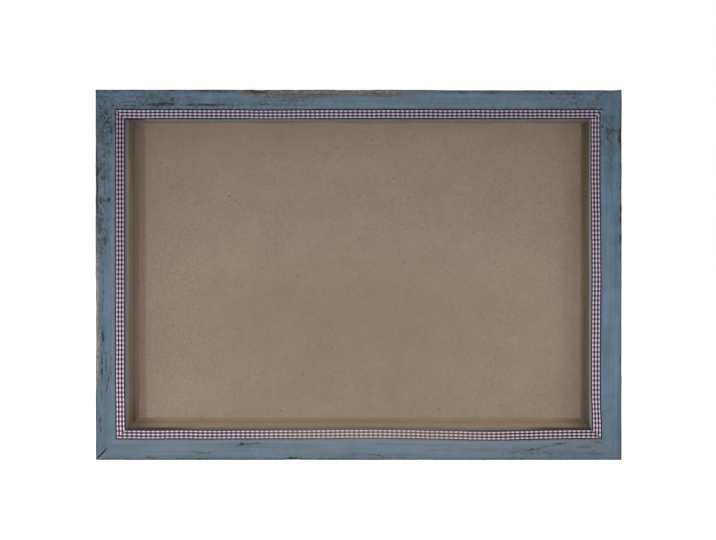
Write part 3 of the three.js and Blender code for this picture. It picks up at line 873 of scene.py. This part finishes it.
# Marks on the face in millimetres: place from the middle, distance from the outer edge, half length,
# half width, strength, and the slope of those that slant. Place counts rightwards on the long rails and
# upwards on the short ones.
darkRubs = {
    "top": [(-158, 10.5, 1.6, 1.2, 0.7), (-148.5, 8, 6, 0.6, 0.8), (-146, 10.6, 8, 0.5, 0.7),
            (-127, 9.6, 13, 1.9, 0.8), (-119.5, 7.0, 3, 2.6, 0.55), (-98, 10.2, 24, 1.6, 0.62),
            (-133, 5, 16, 3.6, 0.34), (-121, 0.9, 6, 0.8, 0.6), (-62, 9.6, 20, 1.6, 0.46),
            (-40, 0.5, 20, 0.8, 0.62), (-40, 3.4, 26, 0.8, 0.55), (-44, 5.2, 24, 0.9, 0.50),
            (-97.5, 1, 4.5, 0.8, 0.85), (-66, 1.4, 13, 2.0, 0.75), (-43, 10.6, 12, 0.7, 0.55),
            (12, 2.8, 9, 0.6, 0.7, 0.065), (84, 2.6, 6, 0.7, 0.7), (101, 1.6, 12, 0.8, 0.55),
            (64, 1.5, 16, 1.5, 0.6), (-90, 1.5, 13, 1.2, 0.6), (108, 1.5, 44, 0.7, 0.55),
            (130, 3.2, 24, 0.8, 0.5), (123.5, 2.2, 2.3, 0.9, 0.95), (136, 2.4, 11, 0.45, 0.6),
            (152.5, 6.2, 4, 1.7, 0.38)],
    "left": [(108, 11.6, 2.2, 1.3, 0.75), (92, 11, 7, 1.6, 0.6), (89.7, 4, 10, 4.6, 0.52),
             (67, 4, 9, 4, 0.5), (62, 6.1, 4, 4.4, 0.48), (48.4, 9.2, 1.5, 1.2, 0.85),
             (47.4, 6.4, 1.0, 4.2, 0.62), (56, 6.6, 16, 0.7, 0.5), (47.4, 4.2, 4, 4, 0.56),
             (35, 3.4, 14, 3.6, 0.52), (22.4, 7.4, 4, 2.2, 0.65), (30, 7, 26, 1.0, 0.45),
             (64, 0.5, 34, 1.3, 1.0), (18, 2, 12, 3, 0.5), (-12, 5.5, 34, 0.9, 0.42),
             (-40, 5.4, 10, 1.2, 0.72), (-60, 4.7, 13, 0.9, 0.72), (-56.5, 7.6, 8, 1.0, 0.5, 0.1),
             (-66, 9.2, 7, 0.7, 0.55, 0.15), (-72, 8.0, 5, 0.7, 0.55, 0.2), (-62, 10.3, 6, 0.6, 0.5),
             (-76, 4.4, 9, 0.8, 0.5), (-95, 3.6, 12, 0.9, 0.5), (-60, 10.5, 14, 1.0, 0.4),
             (-95, 0.3, 34, 0.9, 0.62), (50, 1.2, 28, 1.7, 0.72), (66, 1.0, 5, 2.4, 0.8)],
    "right": [(91, 8.2, 6, 5.5, 0.52), (92, 9.9, 2, 1.4, 0.62), (92.5, 5.4, 2, 1.4, 0.6, 0.3),
              (94.8, 13, 1, 0.8, 0.7), (87, 9.4, 1.6, 0.8, 0.6), (89, 1.4, 9, 1.6, 0.95),
              (79, 0.5, 21, 1.0, 0.95), (76, 8, 12, 5, 0.32), (71, 0.7, 5, 0.9, 0.85),
              (55, 0.8, 5, 1, 0.9), (42, 1, 4, 1.1, 0.85), (35.5, 1.3, 3, 1.4, 0.9),
              (23.3, 1.2, 2.5, 1.3, 0.9), (15, 0.7, 2.5, 0.9, 0.8), (0, 0.5, 14, 0.6, 0.6),
              (-59, 0.6, 14, 0.8, 0.75), (45, 0.3, 38, 0.9, 0.85)],
    "bottom": [(-104, 1.5, 40, 0.45, 0.5), (-24, 1.4, 34, 0.45, 0.55), (-149, 0.8, 5, 0.8, 0.6),
               (-133, 2.1, 5, 0.8, 0.65), (-100, 5.3, 7, 1.1, 0.5), (-74.8, 10.7, 2.2, 1.3, 0.85),
               (-70, 10.9, 12, 1.2, 0.45, 0.05), (-42, 1.7, 7, 0.8, 0.8),
               (12.7, 3.2, 6, 0.7, 0.75, -0.147), (72, 0.8, 40, 0.6, 0.55), (99, 5.4, 9, 0.8, 0.52, 0.11),
               (112, 7.4, 9, 1.1, 0.44, 0.15), (121, 9.4, 8, 1.0, 0.44, 0.2), (128, 11, 7, 1.1, 0.5, 0.1),
               (118, 4.5, 26, 2.6, 0.28, 0.05), (143, 8.9, 6, 0.9, 0.46), (153.5, 12.2, 5, 0.8, 0.46),
               (150, 5, 9, 1.4, 0.42, -0.1)],
}
smudges = {
    "top": [(-125, 6.5, 36, 6, 0.40), (-60, 9, 40, 3, 0.30), (-40, 7, 24, 4, 0.44), (140, 6, 22, 6, 0.28)],
    "left": [(94, 6, 20, 8, 0.72), (66, 4.5, 18, 6, 0.70), (46, 5, 14, 6.5, 0.76), (24, 4, 20, 5, 0.60),
             (-52, 6, 18, 3.5, 0.38), (-66, 8, 9, 4, 0.30)],
    "right": [(90, 7, 12, 7, 0.50), (70, 8, 14, 5, 0.30), (30, 3, 30, 3, 0.25)],
    "bottom": [(120, 6, 34, 5, 0.22, 0.05), (-74, 10, 16, 3, 0.30), (0, 3, 60, 2.5, 0.25)],
}
barePatches = {
    "top": [(-38, 2.6, 30, 3.4, 0.80), (-64, 2.6, 14, 2.9, 0.62), (6, 2.0, 28, 2.6, 0.78, 0.03),
            (42, 1.1, 5.5, 1, 0.9), (84, 1.9, 6.5, 1.3, 0.9)],
    "left": [(-18, 1.3, 30, 1.5, 1.0), (-42, 1.1, 13, 2.3, 1.0), (-62, 1.4, 16, 1.8, 0.8),
             (14, 1.6, 14, 2.2, 0.6), (47, 3, 8, 2.5, 0.45), (67, 3, 8, 2.5, 0.45), (88, 3.5, 9, 3, 0.4)],
    "right": [],
    "bottom": [(-42, 0.35, 7, 0.6, 0.9), (41.5, 0.5, 6, 0.6, 0.8)],
}


def railSection():
    # closed loop in distance from the opening and depth: face, arris, side, back, rabbet, lip
    lipBack = corners("glass_pane")[0][1] - moulding["glassGap"]
    rabbet = spacerHigh[2] - sightTop + moulding["spacerGap"]
    round0, round1, cut = moulding["sightArris"], moulding["outerArris"], moulding["backChamfer"]
    slant = np.sqrt(0.5)
    n = sectionCounts
    return np.vstack([
        straight((round0, frontY), (faceWidth - round1, frontY), (0, -1), n["front"]),
        arc((faceWidth - round1, frontY + round1), round1, -90, 0, n["arris"]),
        straight((faceWidth, frontY + round1), (faceWidth, backY - cut), (1, 0), n["side"]),
        straight((faceWidth, backY - cut), (faceWidth - cut, backY), (slant, slant), n["chamfer"]),
        straight((faceWidth - cut, backY), (rabbet, backY), (0, 1), n["back"]),
        straight((rabbet, backY), (rabbet, lipBack), (-1, 0), n["rabbet"]),
        straight((rabbet, lipBack), (0, lipBack), (0, 1), n["ledge"]),
        straight((0, lipBack), (0, frontY + round0), (-1, 0), n["sight"]),
        arc((round0, frontY + round0), round0, 180, 270, n["sightArris"]),
    ])


def markField(marks, along, edge):
    # the strongest of the marks at each point: strength times exp of minus the squared oval distance
    field = np.zeros_like(along)
    for place, setIn, halfLong, halfWide, strength, *slope in marks:
        run = along - place
        oval = (run / halfLong) ** 2 + ((edge - setIn - sum(slope) * run) / halfWide) ** 2
        field = np.maximum(field, strength * np.exp(-oval))
    return field


def railSteps(opening):
    # evenly spaced shares of the half length, with a few closer ones at each mitre
    half = opening / 2 + faceWidth
    even = np.linspace(-1, 1, int(2 * half / moulding["step"]))
    close = 1 - np.array(moulding["closeSteps"]) * mm / half
    return np.unique(np.concatenate([even, close, -close]))


def makeRail(name, side, seed):
    # the section carried along its side, each point pushed in against its outward direction by the relief
    look = forSide(moulding, name)
    section = railSection()
    out, depth, faceOut, faceDepth = (section[:, k][None, :] for k in range(4))
    share = railSteps(side["opening"])[:, None]

    # every line along the rail ends on the mitre, and one corner of the frame has opened in front
    mitre = side["opening"] / 2 + out
    opened = smoothStep(look["openFrom"], faceWidth, out)
    opened = opened * (1 - smoothStep(0, look["openDepth"], depth - frontY))
    atGap = look["gapEnd"] * share > 0
    along = share * (mitre - (look["mitreShy"] + look["openMitre"] * opened * atGap))
    fromMitre = mitre - np.abs(along)
    rightwards = sum(side["along"])        # -1 where the side's own axis runs to the left or down
    place = rightwards * along / mm
    onSideFace = np.maximum(depth - frontY - look["outerArris"], 0) * (faceOut > 0.5)
    edge = (faceWidth - out - onSideFace) / mm + 0 * place         # from the front edge, round to the side
    outside = smoothStep(*look["pastRibbon"], out) * (faceDepth < 0.5)
    world = onSide(side, along, depth, out)

    def drawn(offset, size):
        # noise drawn out along the grain
        return latticeNoise(seed + offset, along / (size[0] * mm), edge / size[1])

    def spots(spotSeed, size, x, z):
        # noise on the whole frame, which runs on past the mitres
        return latticeNoise(spotSeed, world[..., 0] / (size * mm) + x, world[..., 2] / (size * mm) + z)

    # wear: oval marks broken up by the grain, rubbed sides, and the crack at the open mitre
    streak = drawn(0, look["streak"])
    grain = 0.6 * streak + 0.4 * drawn(1, look["fineStreak"]) - 0.5
    sideRub = 0.55 * smoothStep(0.62, 0.95, drawn(2, look["sideStreak"])) * (onSideFace > 0)
    crack = smoothStep(*look["crackFrom"], out) * atGap * bell(fromMitre, look["crackWide"])
    dark = markField(darkRubs[name], place, edge) * (1 + 0.8 * grain)
    dark = np.clip(np.maximum(np.maximum(dark, sideRub), crack), 0, 1) * outside
    bare = np.clip(markField(barePatches[name], place, edge) * (1 + 0.6 * grain), 0, 1) * outside

    # soil: along the outer rim, along the ribbon with a painted shadow line at its edge, in smudges and
    # corners, and ground into bare wood
    cloudy = spots(7, 14, 30, 5)
    mottle = 0.65 * spots(8, 3.6, 80, 9) + 0.35 * spots(9, 1.4, 200, 20)
    fromRibbon = (out - ribbon["inset"] - ribbon["width"] - ribbonDrift(name, rightwards * along)) / mm
    line, lineWide = look["glueLineAndShadowAt"]
    pale, paleWide = look["gluePaleAt"]
    glueAndRibbonShadow = look["glueSoil"] * bell(fromRibbon, look["glueWide"]) * smoothStep(0.2, 0.8, cloudy + grain)
    glueAndRibbonShadow = np.maximum(glueAndRibbonShadow, look["glueLineAndShadow"] * bell(fromRibbon - line, lineWide))
    smudge = markField(smudges[name], place, edge) * (0.3 + 0.7 * smoothStep(0.32, 0.6, mottle))
    rim = bell(edge, look["rimWide"]) * (0.6 + 0.4 * streak) * look["rimSoil"]
    soil = rim * (1 - look["bareClean"] * smoothStep(0.2, 0.6, bare)) + np.maximum(glueAndRibbonShadow, smudge)
    inCorner = np.where(place < 0, *look["cornerSoil"]) * bell(fromMitre, look["cornerReach"])
    soil = soil + (inCorner + look["allSoil"]) * (0.6 + 0.8 * cloudy)
    soil = np.maximum(soil, look["bareSoil"] * smoothStep(0.15, 0.5, bare))
    faded = look["fade"] * (0.5 + cloudy) + look["gluePale"] * bell(fromRibbon - pale, paleWide)

    # the lip under the ribbon is pale, with painted shade: a share all over, deeper in front behind the
    # ribbon, towards the ends and in the left corner; all of the back is raw
    inwards = np.broadcast_to(faceOut < -0.5, along.shape)
    lip = (inwards & (out < look["lipReach"])).astype(float)
    raw = ((faceDepth > 0.8) | (inwards & (out > look["lipReach"]))).astype(float)
    lipShade = np.maximum(
        look["lipEndShade"] * smoothStep(*look["lipEndShadeFrom"], fromMitre),
        look["lipCornerShadow"] * smoothStep(*look["lipCornerShadowFrom"], fromMitre) * (place < 0))
    inFront = look["lipRibbonShadow"] * (1 - smoothStep(*look["lipTurn"], (depth - frontY) / mm))
    lipShade = np.maximum(np.maximum(lipShade, look["lipShadeAll"]), inFront)
    soil = np.clip(soil * outside + lipShade * lip, 0, 1)

    # relief along the outward direction, always inwards: pits, bare wood, a wandering edge, slots
    nearEdge = smoothStep(look["wanderReach"], 0.0, np.abs(edge)) * outside
    sink = look["pitDepth"] * smoothStep(0.4, 0.8, dark + grain)
    sink = sink + look["bareDepth"] * smoothStep(0.3, 0.7, bare + 0.5 * grain)
    sink = sink + look["wander"] * drawn(3, look["slowWave"]) * nearEdge
    sink = sink + look["streakDepth"] * streak * outside
    worn = smoothStep(*look["wornFrom"], place) * smoothStep(0.1, 0.9, faceOut)
    sink = sink + look["edgeWorn"] * worn * smoothStep(0, look["wornFade"], fromMitre)
    sink = sink + look["softDepth"] * (1 - smoothStep(0, look["mitreSoft"], fromMitre)) * outside * atGap
    softSide, softEnd = look["slotSoft"]
    for slot in look["nailSlots"]:
        start = side["opening"] / 2 + slot - look["slotReach"]
        inSlot = 1 - smoothStep(look["slotHalf"], look["slotHalf"] + softSide, np.abs(out - slot))
        inSlot = inSlot * smoothStep(0, softEnd, np.abs(along) - start)
        sink = sink + look["slotDepth"] * inSlot * (faceDepth > 0.9)

    grid = onSide(side, along, depth - faceDepth * sink, out - faceOut * sink)
    rail = makePiece("painted_rail_" + name, "rail_" + name, grid, along, lengthRound(section[:, :2]),
                     paintedWood)
    paintPoints(rail, wear=np.stack([dark, bare, raw, lip], -1), soil=soil, faded=faded * outside)


for number, (name, side) in enumerate(sides.items()):
    makeRail(name, side, 40 + 10 * number)
print("rails made")


# Ribbons
def makeRibbon(name, side, seed):
    # flat strip section: woven face, two thin edges and the glued back
    lay = forSide(ribbon, name)
    half = lay["width"] / 2
    face, back = frontY - lay["thickness"], frontY
    n = lay["counts"]
    section = np.vstack([
        straight((-half, face), (half, face), (0, -1), n[0]),
        straight((half, face), (half, back), (1, 0), n[1]),
        straight((half, back), (-half, back), (0, 1), n[2]),
        straight((-half, back), (-half, face), (-1, 0), n[3]),
    ])
    across, depth = section[:, 0][None, :], section[:, 1][None, :]
    onFace = (section[:, 3] < -0.5)[None, :]
    middle = lay["inset"] + half
    share = np.linspace(-1, 1, int((side["opening"] + 4 * half) / lay["step"]))[:, None]
    rightwards = sum(side["along"])
    drift = ribbonDrift(name, rightwards * share * (side["opening"] / 2 + middle))
    wave = latticeNoise(seed, share * side["opening"] / lay["waveLength"], 0 * share) - 0.5
    out = middle + across + drift + 2 * lay["ripple"] * wave
    along = share * (side["opening"] / 2 + out - lay["mitreShy"])

    # the face dips between checks and rises along its woven edges
    place = rightwards * along
    woven = place - ribbonSlip(name, place) - lay["firstCheck"]
    checks = np.cos(2 * np.pi * woven / ribbonLook["checkAlong"])
    checks = checks * np.cos(2 * np.pi * across / ribbonLook["checkAcross"])
    rise = lay["selvedge"] * smoothStep(lay["selvedgeFrom"] * half, half, np.abs(across))
    rise = lay["pucker"] * checks + rise
    long, wide = lay["lumps"]
    lumps = lay["ripple"] * (latticeNoise(seed + 1, along / long, across / wide) - 0.5)
    grid = onSide(side, along, depth - onFace * (rise + lumps), out)
    strip = makePiece("gingham_ribbon_" + name, "ribbon_" + name, grid, woven,
                      lengthRound(section[:, :2]) - half, gingham)

    # its tint changes evenly from end to end as painted light, darker towards the top and the right, with a
    # bleached stretch and a frayed corner
    bleached = lay["fadedBy"] * np.exp(-((place - lay["fadedAt"]) / lay["fadedSpan"]) ** 4)
    fromMitre = side["opening"] / 2 + out - np.abs(along)
    frayed = (lay["frayedEnd"] * share > 0) * bell(fromMitre, lay["fray"])
    first, last = (np.array(end) for end in lay["paintedLightEnds"])
    run = (0.5 + 0.5 * rightwards * share + 0 * frayed)[..., None]
    tint = np.array(lay["tint"]) * (first + (last - first) * run) * (1 - lay["frayDark"] * frayed[..., None])
    paintPoints(strip, aged=np.concatenate([tint, bleached[..., None]], -1))


for number, (name, side) in enumerate(sides.items()):
    makeRibbon(name, side, 90 + 10 * number)
print("ribbons made")


# Turn buttons, hangers and screws
def pierced(outline, hole, thickness, rim, steps, rimSteps=12):
    # closed grid of a plate with a hole: from the outline's rounded rim over the top to the hole, down
    # its wall and back underneath. A point is the blend of its outline point and its hole point,
    # shifted by the rounding. outline and hole hold places and the directions away from the metal.
    turn = np.radians(np.linspace(-90, 90, rimSteps))
    height = np.where(turn < 0, rim, thickness - rim) + rim * np.sin(turn)
    inset = rim * (1 - np.cos(turn))
    share = np.linspace(0, 1, steps)[1:-1]
    flat, ones = np.zeros(len(share)), np.ones(len(turn))
    blend = np.concatenate([0 * ones, share, ones, share[::-1]])[None, :, None]
    outer = np.concatenate([inset, rim * (1 - share), 0 * ones, rim * share])[None, :, None]
    inner = np.concatenate([0 * ones, rim * share, inset[::-1], rim * (1 - share)])[None, :, None]
    level = np.concatenate([height, flat + thickness, height[::-1], flat])
    plan = (outline[:, None, :2] - outer * outline[:, None, 2:]) * (1 - blend)
    plan = plan + (hole[:, None, :2] - inner * hole[:, None, 2:]) * blend
    return plan[..., 0], plan[..., 1], np.broadcast_to(level, plan.shape[:2])


def holeFacing(outline, centre, radius):
    # hole points in the same directions from its centre as the outline's points
    away = outline[:, :2] - np.array(centre)
    away = away / np.linalg.norm(away, axis=1, keepdims=True)
    return np.hstack([np.array(centre) + radius * away, -away])


button = {
    "pivotRadius": 5.0 * mm,
    "tipRadius": 3.5 * mm,
    "tipCentre": 15.5 * mm,        # from the screw
    "thickness": 1.0 * mm,
    "holeRadius": 1.8 * mm,
    "rim": 0.22 * mm,              # rounding of the stamped edge
    "bendFrom": 13.0 * mm,         # the finger lift starts here
    "bendRun": 6.0 * mm,
    "bendLift": 1.3 * mm,
    "bendPower": 1.4,
    "dish": 0.12 * mm,             # pressed down round the screw
    "dishRadius": 3.6 * mm,
    "dishFrom": 0.75,              # its slope starts at this share of the radius
    "counts": (64, 26, 48),        # points round the big end, on a side and round the tip
    "steps": 34,                   # from the edge to the hole
}


def makeButton(label):
    # teardrop round two discs; past the bend line the height grows as a power of the run
    node = "turn_button_" + label
    wide, narrow, reach = button["pivotRadius"], button["tipRadius"], button["tipCentre"]
    taper = np.arcsin((wide - narrow) / reach)
    lean, tip = np.degrees(taper), np.array([0, -reach])
    right, left = (np.array([sign * np.cos(taper), -np.sin(taper)]) for sign in (1, -1))
    big, flat, small = button["counts"]
    outline = np.vstack([
        arc((0, 0), wide, -lean, 180 + lean, big),
        straight(wide * left, tip + narrow * left, left, flat),
        arc(tip, narrow, 180 + lean, 360 - lean, small),
        straight(tip + narrow * right, wide * right, right, flat),
    ])
    hole = holeFacing(outline, (0, 0), button["holeRadius"])
    x, z, level = pierced(outline, hole, button["thickness"], button["rim"], button["steps"])
    run = np.clip((-z - button["bendFrom"]) / button["bendRun"], 0, 1)
    dish = 1 - smoothStep(button["dishFrom"], 1.0, np.hypot(x, z) / button["dishRadius"])
    dish = button["dish"] * dish * (level > 0.5 * button["thickness"])
    y = corners(node)[0][1] + level + button["bendLift"] * run ** button["bendPower"] - dish
    pivot = jointPlace["turn_" + label]
    inwards = np.sign(np.round(sightCentre - pivot, 3)) * (1, 0, 1)
    if "middle" not in label:
        inwards = inwards * (0, 0, 1)
    across = np.cross((0, 1, 0), inwards)
    grid = pivot * (1, 0, 1) + x[..., None] * across - z[..., None] * inwards
    grid = grid + y[..., None] * np.array([0, 1, 0])
    makePiece("stamped_button_" + label, node, grid, z, lengthRound(grid[0]), pressedZinc,
              closedAlong=True)


hanger = {
    "strapWidth": 7.0 * mm,
    "thickness": 0.9 * mm,
    "rim": 0.2 * mm,
    "bore": 1.2 * mm,              # radius inside the fold
    "crease": 0.75 * mm,           # radius of the bend below the fold
    "backTail": 16.5 * mm,         # from the ring axis to the end of each layer
    "frontTail": 15.3 * mm,
    "holeDrop": 10.0 * mm,
    "holeRadius": 1.8 * mm,
    "ringWire": 0.9 * mm,          # radius
    "ringHalf": 5.1 * mm,
    "ringCorner": 1.8 * mm,
    "ringDrop": 12.0 * mm,
    "strapCounts": (60, 24),       # points on a side or round the tail, and across the fold
    "strapSteps": 44,              # from the edge to the hole
    "wireAround": 24,
}
foldRadius = hanger["bore"] + hanger["thickness"] / 2      # at the middle of the sheet


def strapHalf(foldTurn, tail, straightFrom, straightAt, creaseTurn):
    # half of the strap laid flat, from the top of the fold to its round tail, then bent: an arc about
    # the ring axis, a tighter arc back, and a straight run down. level counts outwards on the bend.
    wide, crease, thickness = hanger["strapWidth"] / 2, hanger["crease"], hanger["thickness"]
    foldRun, creaseRun = foldRadius * foldTurn, crease * creaseTurn
    centre = foldRun + creaseRun + tail - straightFrom - wide
    long, short = hanger["strapCounts"]
    outline = np.vstack([
        straight((wide, 0), (wide, centre), (1, 0), long),
        arc((0, centre), wide, 0, 180, long),
        straight((-wide, centre), (-wide, 0), (-1, 0), long),
        straight((-wide, 0), (wide, 0), (0, 0), short),
    ])
    drop = foldRun + creaseRun + hanger["holeDrop"] - straightFrom
    hole = holeFacing(outline, (0, drop), hanger["holeRadius"])
    x, run, level = pierced(outline, hole, thickness, hanger["rim"], hanger["strapSteps"])
    lift = level - thickness / 2
    foldAngle = np.pi / 2 - np.clip(run, 0, foldRun) / foldRadius
    creaseAngle = np.clip(run - foldRun, 0, creaseRun) / crease
    outCrease = -(crease - lift) * np.sin(creaseAngle)
    upCrease = -foldRadius - crease + (crease - lift) * np.cos(creaseAngle)
    below = np.maximum(run - foldRun - creaseRun, 0)
    out = np.where(below > 0, straightAt + lift, outCrease)
    up = np.where(below > 0, -straightFrom - below, upCrease)
    out = np.where(run < foldRun, (foldRadius + lift) * np.cos(foldAngle), out)
    up = np.where(run < foldRun, (foldRadius + lift) * np.sin(foldAngle), up)
    return np.stack([x, out, up], -1)


def makeStrap(label):
    # the front half goes half round the ring's bar and creases back; the back half is a quarter turn
    # the other way round
    crease = hanger["crease"]
    front = strapHalf(np.pi, hanger["frontTail"], foldRadius + crease, -crease, np.pi / 2)
    back = strapHalf(np.pi / 2, hanger["backTail"], 0.0, foldRadius, 0.0)
    grid = jointPlace["swing_" + label] + np.stack([front, back * (-1, -1, 1)])
    makePiece("folded_strap_" + label, "hanger_strap_" + label, grid, grid[..., 2], lengthRound(grid[0, 0]),
              pressedZinc, closedAlong=True)


def makeRing(label):
    # round wire along a D: bar, two small corners, sides and a half circle, turned about the bar
    node = "hanger_ring_" + label
    axis = jointPlace["swing_" + label]
    half, bend, drop, wire = (hanger[key] for key in ("ringHalf", "ringCorner", "ringDrop", "ringWire"))
    line = np.vstack([
        straight((half - bend, 0), (bend - half, 0), (0, 1), 24),
        arc((bend - half, -bend), bend, 90, 180, 14),
        straight((-half, -bend), (-half, half - drop), (-1, 0), 16),
        arc((0, half - drop), half, 180, 360, 64),
        straight((half, half - drop), (half, -bend), (1, 0), 16),
        arc((half - bend, -bend), bend, 0, 90, 14),
    ])
    lean = np.arccos((axis[2] - corners(node)[0][2] - wire) / drop)
    angle = np.linspace(2 * np.pi, 0, hanger["wireAround"], endpoint=False)[None, :]
    x = line[:, 0:1] + wire * np.cos(angle) * line[:, 2:3]
    z = line[:, 1:2] + wire * np.cos(angle) * line[:, 3:4]
    y = wire * np.sin(angle) + 0 * x
    grid = axis + np.stack([x, y * np.cos(lean) - z * np.sin(lean), y * np.sin(lean) + z * np.cos(lean)], -1)
    makePiece("wire_ring_" + label, node, grid, lengthRound(line[:, :2])[:, None], wire * angle[0],
              wireZinc, closedAlong=True)


screw = {
    "headRadius": 3.0 * mm,
    "headHeight": 1.8 * mm,
    "headRim": 0.7 * mm,
    "shankRadius": 1.5 * mm,
    "length": 12.0 * mm,
    "tip": 3.0 * mm,
    "pitch": 1.25 * mm,
    "root": 0.72,                  # root of the thread as a share of its crest
    "plain": 2.0 * mm,             # under the head, without thread
    "slotHalf": 0.40 * mm,         # cross recess
    "slotReach": 1.7 * mm,
    "slotDepth": 0.85 * mm,
    "around": 96,                  # points round it, rings on the head and rings on the shank
    "headRings": 46,
    "shankRings": 115,
    "pinhole": 0.012,              # share of the head's radius in its smallest ring
    "point": 0.03,                 # and of the shank's at the tip
    "slotRise": 0.3,               # the recess gets shallower outwards by this
    # underside of the head, as shares of its radius and of its rim
    "under": [(1.0, 0.5), (1.0, 0.2), (0.985, 0.07), (0.95, 0.0), (0.75, 0.0), (0.52, 0.0)],
}


def makeScrew(node, turnDeg):
    # a profile turned about the axis: domed head sunk by a cross recess, then a shank whose radius
    # follows a helix between root and crest
    low, high = corners(node)
    middle, seat = (low + high) / 2, high[1] - screw["headHeight"]
    angle = np.linspace(0, 2 * np.pi, screw["around"], endpoint=False)[None, :]
    radius = np.linspace(screw["pinhole"], 1, screw["headRings"]) * screw["headRadius"]
    dome = (1 - np.sqrt(1 - np.minimum(radius / screw["headRadius"], 1))) ** 2
    domeHeight = screw["headHeight"] - (screw["headHeight"] - screw["headRim"]) * dome
    under = np.array(screw["under"])
    depth = np.linspace(0.0, screw["length"], screw["shankRings"] + 1)[1:]
    point = np.clip((screw["length"] - depth) / screw["tip"], screw["point"], 1)
    height = np.concatenate([domeHeight, under[:, 1] * screw["headRim"], -depth])[:, None]
    base = np.concatenate([radius, under[:, 0] * screw["headRadius"], screw["shankRadius"] * point])[:, None]

    x, z = base * np.cos(angle), base * np.sin(angle)
    arms = [(1 - smoothStep(0.9, 1.1, np.abs(a) / screw["slotHalf"]))
            * (1 - smoothStep(0.88, 1.0, np.abs(b) / screw["slotReach"])) for a, b in ((x, z), (z, x))]
    onDome = height > screw["headRim"]
    recess = screw["slotDepth"] * np.maximum(*arms) * onDome
    recess = recess * (1 - screw["slotRise"] * base / screw["slotReach"])
    phase = (height / screw["pitch"] + angle / (2 * np.pi)) % 1
    crest = smoothStep(0.25, 0.5, phase) * (1 - smoothStep(0.5, 0.75, phase))
    threaded = smoothStep(screw["plain"], screw["plain"] + screw["pitch"], -height)
    turned = base * (1 - threaded * (1 - screw["root"]) * (1 - crest))
    spin = angle + np.radians(turnDeg)
    grid = np.stack([middle[0] + turned * np.cos(spin), seat + height - recess,
                     middle[2] + turned * np.sin(spin)], -1)
    makePiece("turned_" + node, node, grid[::-1], height[::-1], screw["shankRadius"] * angle[0],
              screwZinc)


buttonLabels = [name[len("turn_"):] for name in jointPlace if name.startswith("turn_")]
for number, label in enumerate(buttonLabels):
    makeButton(label)
    makeScrew("button_screw_" + label, 17 + 53 * number)
for number, label in enumerate(("left", "right")):
    makeStrap(label)
    makeRing(label)
    makeScrew("hanger_screw_" + label, 31 + 74 * number)
print("buttons, hangers and screws made")


# Nodes that keep their own shape
finishes = {"glass_pane": clearGlass, "back_panel": fibreboard, **spacerBoards}
for node, item in frame["nodes"].items():
    finish = nailSteel if node.startswith("v_nail_") else finishes.get(node)
    if finish:
        item.data.materials.clear()
        item.data.materials.append(finish)
